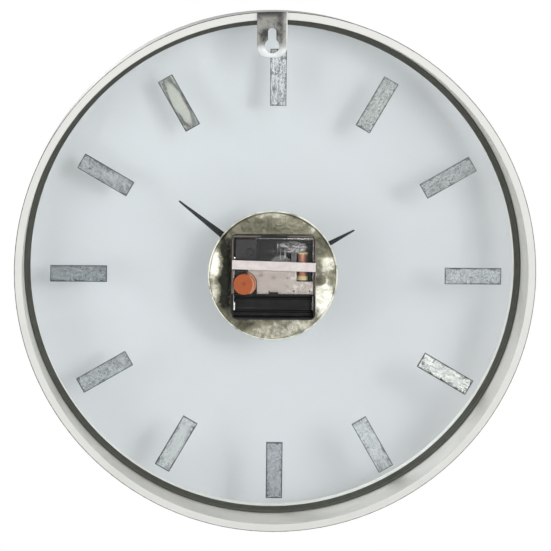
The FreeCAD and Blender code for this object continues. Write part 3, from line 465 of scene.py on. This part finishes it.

# Painted light on the disc's rear face: bright patches are painted reflections, dark ones painted
# shade, and the one at 32.5 is the painted shadow of the movement. Each has place from its
# centre, half widths, lightness and share; a ragged patch starts and ends at these squares of the
# distance from its middle
PATCH_EDGE = (3.0, 1.3)
PATCH_RAGGED = 2.4
DISC_PAINTED_LIGHT_PATCHES = (
    (10, 33, 20, 5, 0.16, 0.8), (-14, 31, 9, 4, 0.45, 0.6), (2, 41, 13, 2.6, 0.72, 0.8),
    (32.5, 1, 5.4, 30, -0.2, 0.95), (39.5, 8, 5.4, 10, 1.0, 0.95), (38.5, -10, 3.4, 7, 0.85, 0.8),
    (30, -28, 8, 6, 0.34, 0.8), (19, -33, 7, 4, 0.08, 0.85), (0, -37, 15, 5, 0.66, 0.85),
    (-19, -33, 8, 5, 0.78, 0.8), (-34, -15, 7, 13, 0.98, 0.95), (-37, 8, 5, 5, 0.92, 0.85),
    (-31, -3, 4, 3.4, 0.08, 0.85), (-33, 22, 7, 8, 0.14, 0.8), (24, 33, 5, 4, 0.5, 0.5),
)


def paint_disc():
    """Rough cast champagne metal; its rear face has painted reflections as bright cream patches,
    painted shade as dull olive ones with the movement's painted shadow, and a painted highlight
    round the rim.
    """
    p = Paint("disc_cast", rgb(170, 168, 145), 0.38, 0.75)
    x = p.axis("X")
    z = p.calc("SUBTRACT", p.axis("Z"), DIAL_Z)
    patch = p.noise(0.10, 4, 0.65, warp=0.8, seed=4)
    level = p.fade(patch, 0.3, 0.7, 0.25, 0.75)
    ragged = p.calc("MULTIPLY", p.noise(0.28, 4, 0.7, warp=0.6, seed=12), PATCH_RAGGED)
    # Painted reflections and painted shade, one patch after another, including the painted shadow
    # beside the movement.
    for place_x, place_z, half_x, half_z, light, share in DISC_PAINTED_LIGHT_PATCHES:
        apart = p.apart(x, z, (place_x, place_z), (half_x, half_z))
        near = p.fade(p.calc("ADD", apart, ragged), *PATCH_EDGE, 0.0, share)
        ahead = p.calc("SUBTRACT", light, level)
        level = p.calc("ADD", level, p.calc("MULTIPLY", ahead, near))
    grain = p.noise(0.55, 6, 0.8, warp=0.8, stretch=(1, 1, 0.6), seed=5)
    swirl = p.noise(0.13, 4, 0.6, warp=1.4, seed=31)
    level = p.calc("ADD", level, p.fade(grain, 0.3, 0.7, -0.09, 0.09))
    level = p.calc("ADD", level, p.fade(swirl, 0.3, 0.7, -0.07, 0.07))
    front_y = DISC_LOW.y / MM
    front = p.fade(p.axis("Y"), front_y + DISC_FRONT_FADE[0], front_y + DISC_FRONT_FADE[1])
    plain = p.calc("ADD", p.calc("MULTIPLY", swirl, 0.6), 0.62)
    level = p.calc("ADD", level, p.calc("MULTIPLY", front, p.calc("SUBTRACT", plain, level)))
    color = p.mix(p.fade(level, -0.1, 0.5), rgb(22, 22, 14), rgb(104, 102, 86))
    color = p.mix(p.fade(level, 0.5, 1.15), color, rgb(228, 227, 214))
    # Painted highlight: a bright band round the disc's rim.
    rim = p.band(p.radius(0.0, DIAL_Z), DISC_RADIUS + DISC_RIM_HIGHLIGHT[0],
                 DISC_RADIUS + DISC_RIM_HIGHLIGHT[1], 0.12)
    color = p.mix(p.calc("MULTIPLY", rim, p.fade(patch, 0.35, 0.6, 0.15, 0.8)), color,
                  rgb(236, 235, 222))
    p.set("Base Color", color)
    p.set("Roughness", p.fade(grain, 0.3, 0.7, 0.26, 0.5))
    p.bump(p.calc("ADD", p.calc("MULTIPLY", grain, 0.5), p.calc("MULTIPLY", swirl, 2.0)),
           0.16, 0.9)
    return p


def build_disc(shape):
    """Cast plate with a raised bead round its edge and an uneven face."""
    front, rear = DISC_LOW.y / MM, DISC_HIGH.y / MM
    inner = DISC_RADIUS - DISC_RIM_WIDTH
    rings = []
    for step in range(DISC_RINGS):
        share = step / (DISC_RINGS - 1)
        rings.append((DISC_HOLE + share * (inner - DISC_HOLE), rear - DISC_SINK))
    rings += [(DISC_RADIUS - inward, rear - down) for inward, down in DISC_BEAD]
    rings += [(DISC_RADIUS - inward, front + up) for inward, up in DISC_FRONT_EDGE]
    rings.append((DISC_HOLE, front))

    def to_place(radius, depth, angle):
        x, z = radius * math.cos(angle), radius * math.sin(angle)
        sunk = front + DISC_FLAT < depth < rear - DISC_SINK / 2
        if sunk and radius < inner + DISC_SLACK:
            for scale, level, share in DISC_WAVES:
                wave = noise.noise(Vector((x * scale, z * scale, level)))
                depth += DISC_RELIEF * share * wave
        return Vector((x * MM, depth * MM, (z + DIAL_Z) * MM))
    lathe(shape, rings, DISC_AROUND, to_place)


# Movement

def paint_case():
    """Black moulding with fine grain and faint streaks in the bay."""
    p = Paint("case_moulding", rgb(34, 34, 36), 0.42)
    p.set("Specular IOR Level", 0.16)
    cloud = p.noise(0.15, 4, 0.6)
    color = p.mix(cloud, rgb(16, 16, 18), rgb(31, 31, 33))
    streak = p.fade(p.noise(0.7, 3, 0.6, stretch=(0.05, 0.4, 1.0), seed=6), 0.55, 0.75)
    color = p.mix(p.calc("MULTIPLY", streak, 0.35), color, rgb(96, 96, 98))
    p.set("Base Color", color)
    p.set("Roughness", p.fade(cloud, 0.3, 0.7, 0.34, 0.55))
    p.bump(p.noise(3.0, 2), 0.03, 0.5)
    return p


# On the cover, from the dial centre: the white crinkled patch and the flow lines
WHITE_PATCH_PLACE = (-12.0, 20.5)
WHITE_PATCH_HALF = (11.0, 4.2)
FRINGE_PLACE = (-4.5, 18.0)
FRINGE_HALF = (6.0, 6.5)
# Inwards from the case's rear face, and from its sides for the painted highlight along the
# cover's rim
COVER_FACE = (0.4, 0.1)
COVER_RIM_HIGHLIGHT = (1.2, 0.5)
# Painted orange reflection of the knob on the pocket's wall, from the knob's middle: radii, and
# the side where it shows
POCKET_REFLECTION_RADII = (7.05, 8.3)
POCKET_REFLECTION_SIDE = (-1.0, -6.0)


def paint_cover():
    """Clear styrene with a white crinkled patch and fine flow lines; a painted highlight along
    its rim and a painted orange reflection of the knob on its pocket wall.
    """
    p = Paint("cover_styrene", rgb(246, 246, 245), 0.04)
    p.set("Transmission Weight", 1.0)
    p.set("IOR", 1.2)
    haze = p.noise(0.2, 4, 0.65)
    p.set("Roughness", p.fade(haze, 0.4, 0.8, 0.03, 0.16))
    p.bump(p.noise(0.08, 3), 0.10, 0.4)
    x = p.axis("X")
    z = p.calc("SUBTRACT", p.axis("Z"), DIAL_Z)
    rear_y = CASE_HIGH.y / MM
    outer = p.fade(p.axis("Y"), rear_y - COVER_FACE[0], rear_y - COVER_FACE[1])
    crinkle = p.noise(0.22, 6, 0.85, warp=1.2, stretch=(0.7, 1, 1.3), seed=15)
    white_patch = p.calc("MULTIPLY", p.oval(x, z, WHITE_PATCH_PLACE, WHITE_PATCH_HALF),
                   p.fade(crinkle, 0.38, 0.72))
    lines = p.fade(p.noise(1.3, 2, 0.5, warp=0.3, stretch=(1, 1, 0.04), seed=16), 0.56, 0.68)
    fringe = p.calc("MULTIPLY", p.oval(x, z, FRINGE_PLACE, FRINGE_HALF), lines)
    far_side = p.calc("MAXIMUM", p.calc("ABSOLUTE", x), z)
    # Painted highlight: the cover's rim shows as a pale diffuse band.
    rim = p.fade(far_side, CASE_HALF - COVER_RIM_HIGHLIGHT[0], CASE_HALF - COVER_RIM_HIGHLIGHT[1], 0.0, 0.55)
    cloud = p.calc("MAXIMUM", p.calc("MULTIPLY", white_patch, 0.8), p.calc("MULTIPLY", fringe, 0.45))
    milky_and_painted_light = p.calc("MAXIMUM", p.calc("MULTIPLY", cloud, outer), rim)
    knob_x, knob_z = middle("setting_knob")
    # Painted reflection: orange from the knob on one side of the pocket's wall.
    knob_reflection = p.calc("MULTIPLY", p.band(p.radius(knob_x, knob_z), *POCKET_REFLECTION_RADII, 0.1),
                  p.fade(x, knob_x + POCKET_REFLECTION_SIDE[0], knob_x + POCKET_REFLECTION_SIDE[1]))
    knob_reflection = p.calc("MULTIPLY", knob_reflection, 0.7)
    milky_and_painted_light = p.calc("MAXIMUM", milky_and_painted_light, knob_reflection)
    dull = p.mix(p.fade(rim, 0.0, 0.1), rgb(236, 234, 232), rgb(150, 138, 130))
    dull = p.mix(p.fade(knob_reflection, 0.0, 0.1), dull, rgb(214, 160, 132))
    dull = p.add("ShaderNodeBsdfDiffuse", {"Color": dull}).outputs[0]
    joint = p.add("ShaderNodeMixShader", {0: milky_and_painted_light, 1: p.shader.outputs[0], 2: dull})
    return p.passes_light(rgb(244, 244, 244), joint.outputs[0])


def paint_label():
    """Bare pinkish paper with fibres."""
    p = Paint("label_paper", rgb(218, 208, 205), 0.72)
    blotch = p.noise(0.25, 4, 0.6, stretch=(0.6, 1, 1))
    color = p.mix(p.fade(blotch, 0.35, 0.65), rgb(210, 200, 200), rgb(224, 217, 212))
    fibre = p.noise(2.4, 3, 0.7, stretch=(0.3, 1, 1), seed=7)
    p.set("Base Color", p.mix(p.fade(fibre, 0.55, 0.8, 0.0, 0.35), color, rgb(196, 184, 186)))
    p.bump(fibre, 0.03, 0.6)
    return p


# On the knob: painted highlight as a pale edge on one side, and the gate mark near its middle
KNOB_HIGHLIGHT_EDGE = (7.2, 8.6)
KNOB_HIGHLIGHT_LEAN = 0.35
KNOB_MARK_PLACE = (0.4, 0.3)
KNOB_MARK_RADII = (0.9, 1.5)
KNOB_MARK_TOP = (-0.2, 0.4)


def paint_knob():
    """Orange moulding with a painted highlight along one edge and a gate mark."""
    p = Paint("knob_moulding", rgb(170, 84, 40), 0.40)
    cloud = p.noise(0.3, 4, 0.6)
    color = p.mix(cloud, rgb(150, 66, 14), rgb(176, 86, 26))
    knob_x, knob_z = middle("setting_knob")
    x = p.calc("SUBTRACT", p.axis("X"), knob_x)
    z = p.calc("SUBTRACT", p.axis("Z"), knob_z)
    # Painted highlight: a pale crescent along the knob's low-X edge.
    worn = p.calc("SUBTRACT", p.radius(knob_x, knob_z), p.calc("MULTIPLY", x, KNOB_HIGHLIGHT_LEAN))
    color = p.mix(p.fade(worn, *KNOB_HIGHLIGHT_EDGE, 0.0, 0.6), color, rgb(222, 158, 124))
    mark = p.radius(knob_x + KNOB_MARK_PLACE[0], knob_z + KNOB_MARK_PLACE[1])
    arc = p.calc("MULTIPLY", p.band(mark, *KNOB_MARK_RADII, 0.2), p.fade(z, *KNOB_MARK_TOP))
    p.set("Base Color", p.mix(p.calc("MULTIPLY", arc, 0.5), color, rgb(104, 46, 24)))
    p.set("Specular IOR Level", 0.3)
    p.bump(p.noise(1.8, 3, 0.6), 0.03, 0.5)
    return p


# Painted shade in dark rings round the bearings, at the edges of their bosses: place from the
# dial centre and radius, then half the width of their line; the smudge grows between two places
# along X
BEARING_MARKS = ((0.0, 0.0, 1.35), (8.3, 1.7, 1.35), (-8.9, -5.2, 0.9), (-17.0, -8.4, 0.8))
BEARING_LINE = 0.18
SMUDGE_SPAN = (-4.0, -15.0)


def paint_bridge():
    """Pale pinkish plate, smudged at one end, with painted shade in rings round the bearings."""
    p = Paint("plate_moulding", rgb(190, 180, 172), 0.48)
    cloud = p.noise(0.18, 4, 0.6, warp=0.5)
    color = p.mix(cloud, rgb(138, 128, 123), rgb(164, 154, 148))
    smudge_at = p.fade(p.axis("X"), *SMUDGE_SPAN)
    smudge = p.calc("MULTIPLY", smudge_at, p.fade(p.noise(0.35, 4, 0.7, seed=8), 0.45, 0.7))
    color = p.mix(smudge, color, rgb(196, 192, 186))
    # Painted shade: dark rings at the edges of the bearing bosses.
    for place_x, place_z, ring in BEARING_MARKS:
        mark = p.band(p.radius(place_x, DIAL_Z + place_z), ring - BEARING_LINE,
                      ring + BEARING_LINE, 0.1)
        color = p.mix(p.calc("MULTIPLY", mark, 0.55), color, rgb(86, 78, 74))
    speck = p.fade(p.noise(0.9, 3, 0.6, seed=9), 0.68, 0.74)
    p.set("Base Color", p.mix(p.calc("MULTIPLY", speck, 0.5), color, rgb(120, 112, 106)))
    p.bump(p.noise(1.5, 3), 0.03, 0.5)
    return p


def paint_wheels(name, dark, light):
    """Moulded acetal."""
    p = Paint(name, rgb(*dark), 0.38)
    p.set("Base Color", p.mix(p.noise(0.5, 3), rgb(*dark), rgb(*light)))
    p.bump(p.noise(2.5, 2), 0.02, 0.5)
    return p


def paint_wire():
    """Enamelled copper turns."""
    p = Paint("copper_turns", rgb(190, 120, 92), 0.28, 0.7)
    layer = p.noise(0.6, 3, 0.6, stretch=(0.2, 0.2, 2.0))
    color = p.mix(layer, rgb(126, 70, 55), rgb(186, 139, 121))
    p.set("Base Color", color)
    p.bump(p.noise(2.0, 2, stretch=(0.1, 0.1, 3.0)), 0.02, 0.5)
    return p


# The winding's turns: their pitch and depth, rings of points per turn, points round a ring,
# the inner radius as a share of the outer one, and how unevenly the turns lie
WIRE_PITCH = 0.36
WIRE_RELIEF = 0.07
WIRE_ROWS_PER_TURN = 5
WIRE_AROUND = 56
WIRE_BARREL = 0.6
WIRE_SLACK = 0.05
WIRE_SLACK_SCALE = (0.8, 0.5)


def build_winding(shape):
    """Barrel of fine turns round the bobbin."""
    centre = (WINDING_LOW + WINDING_HIGH) / 2 / MM
    low_z, high_z = WINDING_LOW.z / MM, WINDING_HIGH.z / MM
    outer = (WINDING_HIGH.x - WINDING_LOW.x) / 2 / MM
    inner = outer * WIRE_BARREL
    rows = int((high_z - low_z) / WIRE_PITCH * WIRE_ROWS_PER_TURN)
    rings = [(inner, low_z)]
    for row in range(rows + 1):
        z = low_z + (high_z - low_z) * row / rows
        rings.append((outer, z))
    rings.append((inner, high_z))

    def to_place(radius, z, angle):
        if radius > inner:
            phase = 2 * math.pi * z / WIRE_PITCH + angle
            slack = WIRE_SLACK * noise.noise(Vector((z * WIRE_SLACK_SCALE[0],
                                                     angle * WIRE_SLACK_SCALE[1], 1.0)))
            radius -= WIRE_RELIEF * (0.5 - 0.5 * math.cos(phase)) + abs(slack)
        return Vector(((centre.x + radius * math.cos(angle)) * MM,
                       (centre.y + radius * math.sin(angle)) * MM, z * MM))
    lathe(shape, rings, WIRE_AROUND, to_place)


def paint_bobbin():
    """Yellowish nylon."""
    p = Paint("bobbin_moulding", rgb(168, 156, 108), 0.45)
    p.set("Base Color", p.mix(p.noise(0.4, 3), rgb(150, 138, 92), rgb(188, 176, 128)))
    p.bump(p.noise(2.0, 2), 0.02, 0.5)
    return p


def paint_metal(name, dark, light, roughness, metallic):
    """Clouded metal with fine scratches."""
    p = Paint(name, rgb(*dark), roughness, metallic)
    cloud = p.noise(0.6, 4, 0.65)
    p.set("Base Color", p.mix(cloud, rgb(*dark), rgb(*light)))
    p.set("Roughness", p.fade(cloud, 0.3, 0.7, roughness * 0.8, roughness * 1.25))
    p.bump(p.noise(2.4, 3, 0.7), 0.02, 0.5)
    return p


def paint_plain(name, dark, light, roughness):
    """Dull dark plastic, rubber or lacquer."""
    p = Paint(name, rgb(*dark), roughness)
    p.set("Specular IOR Level", 0.25)
    p.set("Base Color", p.mix(p.noise(0.5, 4), rgb(*dark), rgb(*light)))
    p.bump(p.noise(2.2, 3), 0.02, 0.5)
    return p


def dress_movement():
    """Paints of the movement, washers and hands; bevels in millimetres."""
    brass = paint_metal("turned_brass", (168, 134, 66), (206, 174, 104), 0.3, 0.85)
    tin = paint_metal("tinned_spring", (196, 196, 194), (236, 236, 234), 0.25, 0.85)
    iron = paint_metal("motor_iron", (52, 52, 54), (78, 78, 80), 0.4, 0.6)
    magnet = paint_plain("ferrite", (38, 38, 40), (58, 58, 60), 0.5)
    white = paint_wheels("pale_acetal", (206, 206, 200), (228, 228, 222))
    dark_wheel = paint_wheels("dark_acetal", (58, 58, 60), (92, 92, 94))
    black = paint_plain("black_plate", (22, 22, 25), (38, 38, 40), 0.45)
    rubber = paint_plain("washer_rubber", (30, 30, 30), (48, 48, 47), 0.7)
    lacquer = paint_plain("hand_lacquer", (2, 2, 2), (8, 8, 8), 0.6)
    board = paint_plain("board_mask", (8, 9, 10), (18, 20, 21), 0.35)
    resin = paint_plain("chip_resin", (20, 20, 21), (34, 34, 35), 0.22)
    for paint, bevel, names in (
            (paint_case(), 0.12, ("movement_case",)),
            (paint_cover(), 0.12, ("clear_cover",)),
            (paint_label(), 0.0, ("label_strip",)),
            (paint_bridge(), 0.08, ("train_bridge",)),
            (paint_bobbin(), 0.10, ("coil_bobbin",)),
            (black, 0.06, ("middle_plate",)),
            (brass, 0.10, ("centre_bush", "brass_washer", "hex_nut", "hand_nut",
                           "minute_arbor")),
            (rubber, 0.12, ("rubber_washer",)),
            (lacquer, 0.08, ("hour_hand", "minute_hand")),
            (white, 0.04, ("reverser_wheel", "hour_wheel")),
            (dark_wheel, 0.03, ("centre_wheel", "third_wheel", "seconds_wheel",
                                "intermediate_wheel", "rotor_pinion")),
            (magnet, 0.08, ("rotor_magnet",)),
            (iron, 0.06, ("coil_core", "stator")),
            (board, 0.05, ("circuit_board",)),
            (resin, 0.12, ("clock_chip",)),
            (tin, 0.15, ("quartz_crystal",)),
            (tin, 0.05, ("contact_plus", "contact_minus"))):
        for name in names:
            dress(name, paint, bevel)
    dress("setting_knob", paint_knob(), 0.35, 3)
    make_piece("coil_turns", build_winding, paint_wire(), "clock_body",
               ("coil_winding",))


# Stage: the card leans, so its gap to the hoop's front changes along X and Z

CARD_GAP = 83.0
CARD_SLOPE_X = -0.178
CARD_SLOPE_Z = -0.239
CARD_CENTRE = (-5.0, -11.0)
CARD_RADIUS = 198.0
CARD_FADE = (176.0, 192.0)
CARD_SIDES = 96
FLOOR_Z = -300.0
FLOOR_BACK = -550.0
FLOOR_REACH = 2400.0
FLOOR_FADE = (330.0, 900.0)
WORLD_LEVEL = 0.47
WHITE = (1.0, 1.0, 1.0, 1.0)
# Lamps: name, place, size in millimetres and watts
LAMPS = (
    ("key", (-347, 1945, 270), 260, 10.5),
    ("fill", (650, 1900, 150), 480, 6),
    ("front_key", (900, -1700, 900), 800, 16),
    ("front_fill", (-1200, -1500, 200), 1100, 7),
)


def stage_piece(name, points, paint):
    """One flat face that isn't part of the object."""
    mesh = bpy.data.meshes.new(name)
    mesh.from_pydata([Vector(point) * MM for point in points], [], [range(len(points))])
    mesh.materials.append(paint.material)
    piece = bpy.data.objects.new(name, mesh)
    bpy.context.scene.collection.objects.link(piece)


def make_card():
    """Leaning sheet before the clock's front that takes the bars' shadows through the pane.

    The camera sees its near face through glass only. Mirror images and shadow rays pass it."""
    p = Paint("card_paint", rgb(199, 201, 202), 0.9)
    p.set("Specular IOR Level", 0.0)
    path = p.add("ShaderNodeLightPath").outputs
    mirrored = p.calc("SUBTRACT", path["Is Glossy Ray"], path["Is Transmission Ray"], True)
    clear = p.fade(p.radius(*CARD_CENTRE), *CARD_FADE)
    back = p.add("ShaderNodeNewGeometry").outputs["Backfacing"]
    for other in (path["Is Camera Ray"], mirrored, back, path["Is Shadow Ray"]):
        clear = p.calc("MAXIMUM", clear, other)
    straight = p.add("ShaderNodeBsdfTransparent").outputs[0]
    joint = p.add("ShaderNodeMixShader", {0: clear, 1: p.shader.outputs[0], 2: straight})
    p.feed(p.output.inputs["Surface"], joint.outputs[0])
    points = []
    for step in range(CARD_SIDES):
        turn = -2 * math.pi * step / CARD_SIDES
        x = CARD_CENTRE[0] + CARD_RADIUS * math.cos(turn)
        z = CARD_CENTRE[1] + CARD_RADIUS * math.sin(turn)
        y = HOOP_LOW.y / MM - (CARD_GAP + CARD_SLOPE_X * x + CARD_SLOPE_Z * z)
        points.append((x, y, z))
    stage_piece("backdrop_card", points, p)


def make_floor():
    """Pale floor under the clock that turns into the white of the world further out."""
    p = Paint("floor_paint", rgb(240, 240, 238), 0.8)
    out = p.add("ShaderNodeVectorMath", {0: p.place()}, operation="LENGTH").outputs["Value"]
    bright = p.add("ShaderNodeEmission", {"Color": WHITE}).outputs[0]
    joint = p.add("ShaderNodeMixShader", {0: p.fade(out, *FLOOR_FADE),
                                          1: p.shader.outputs[0], 2: bright})
    p.feed(p.output.inputs["Surface"], joint.outputs[0])
    stage_piece("floor", [(-FLOOR_REACH, FLOOR_BACK, FLOOR_Z), (FLOOR_REACH, FLOOR_BACK, FLOOR_Z),
                          (FLOOR_REACH, FLOOR_REACH, FLOOR_Z),
                          (-FLOOR_REACH, FLOOR_REACH, FLOOR_Z)], p)


def make_world():
    """White where the camera, a reflection or glass sees it, and softer as light."""
    world = bpy.data.worlds.new("studio")
    bpy.context.scene.world = world
    world.use_nodes = True
    tree = world.node_tree
    background = tree.nodes["Background"]
    path = tree.nodes.new("ShaderNodeLightPath")
    seen = path.outputs["Is Camera Ray"]
    for name in ("Is Glossy Ray", "Is Transmission Ray"):
        larger = tree.nodes.new("ShaderNodeMath")
        larger.operation = "MAXIMUM"
        tree.links.new(seen, larger.inputs[0])
        tree.links.new(path.outputs[name], larger.inputs[1])
        seen = larger.outputs["Value"]
    level = tree.nodes.new("ShaderNodeMapRange")
    level.inputs["To Min"].default_value = WORLD_LEVEL
    level.inputs["To Max"].default_value = 1.0
    tree.links.new(seen, level.inputs["Value"])
    tree.links.new(level.outputs["Result"], background.inputs["Strength"])
    background.inputs["Color"].default_value = WHITE


def make_lamp(name, place, size, power):
    """Square soft lamp aimed at the clock; place and size in millimetres, power in watts."""
    data = bpy.data.lights.new(name, "AREA")
    data.size = size * MM
    data.energy = power
    lamp = bpy.data.objects.new(name, data)
    bpy.context.scene.collection.objects.link(lamp)
    lamp.location = Vector(place) * MM
    lamp.rotation_euler = (-lamp.location).to_track_quat("-Z", "Y").to_euler()


def make_camera():
    """Camera from its distance, azimuth, elevation and roll about the target."""
    azimuth, elevation = math.radians(VIEW_AZIMUTH), math.radians(VIEW_ELEVATION)
    roll = math.radians(VIEW_ROLL)
    away = Vector((math.sin(azimuth) * math.cos(elevation),
                   math.cos(azimuth) * math.cos(elevation), math.sin(elevation)))
    level = Vector((0, 0, 1)).cross(away).normalized()
    upright = away.cross(level)
    right = math.cos(roll) * level + math.sin(roll) * upright
    up = -math.sin(roll) * level + math.cos(roll) * upright
    target = Vector((VIEW_TARGET_X, HOOP_REAR, VIEW_TARGET_Z))
    data = bpy.data.cameras.new("camera")
    data.sensor_width = SENSOR_WIDTH
    data.lens = FOCAL_PIXELS / IMAGE_WIDTH * SENSOR_WIDTH
    data.clip_end = CAMERA_REACH * MM
    camera = bpy.data.objects.new("camera", data)
    bpy.context.scene.collection.objects.link(camera)
    turn = Matrix((right, up, away)).transposed().to_4x4()
    camera.matrix_world = Matrix.Translation((target + VIEW_DISTANCE * away) * MM) @ turn
    bpy.context.scene.camera = camera


def main():
    """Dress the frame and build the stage."""
    dress("hoop", paint_hoop(), 0.5, 3)
    dress("glass_pane", paint_glass(), 0.15)
    dress("glass_gasket", paint_gasket(), 0.3)
    dress("hanger_tab", paint_tab(), 0.2)
    dress_markers()
    make_piece("hub_disc_cast", build_disc, paint_disc(), "clock_body",
               ("hub_disc",))
    dress_movement()
    make_card()
    make_floor()
    make_world()
    for name, place, size, power in LAMPS:
        make_lamp(name, place, size, power)
    make_camera()
    bpy.context.scene.view_settings.view_transform = "Standard"
    bpy.context.view_layer.update()


main()
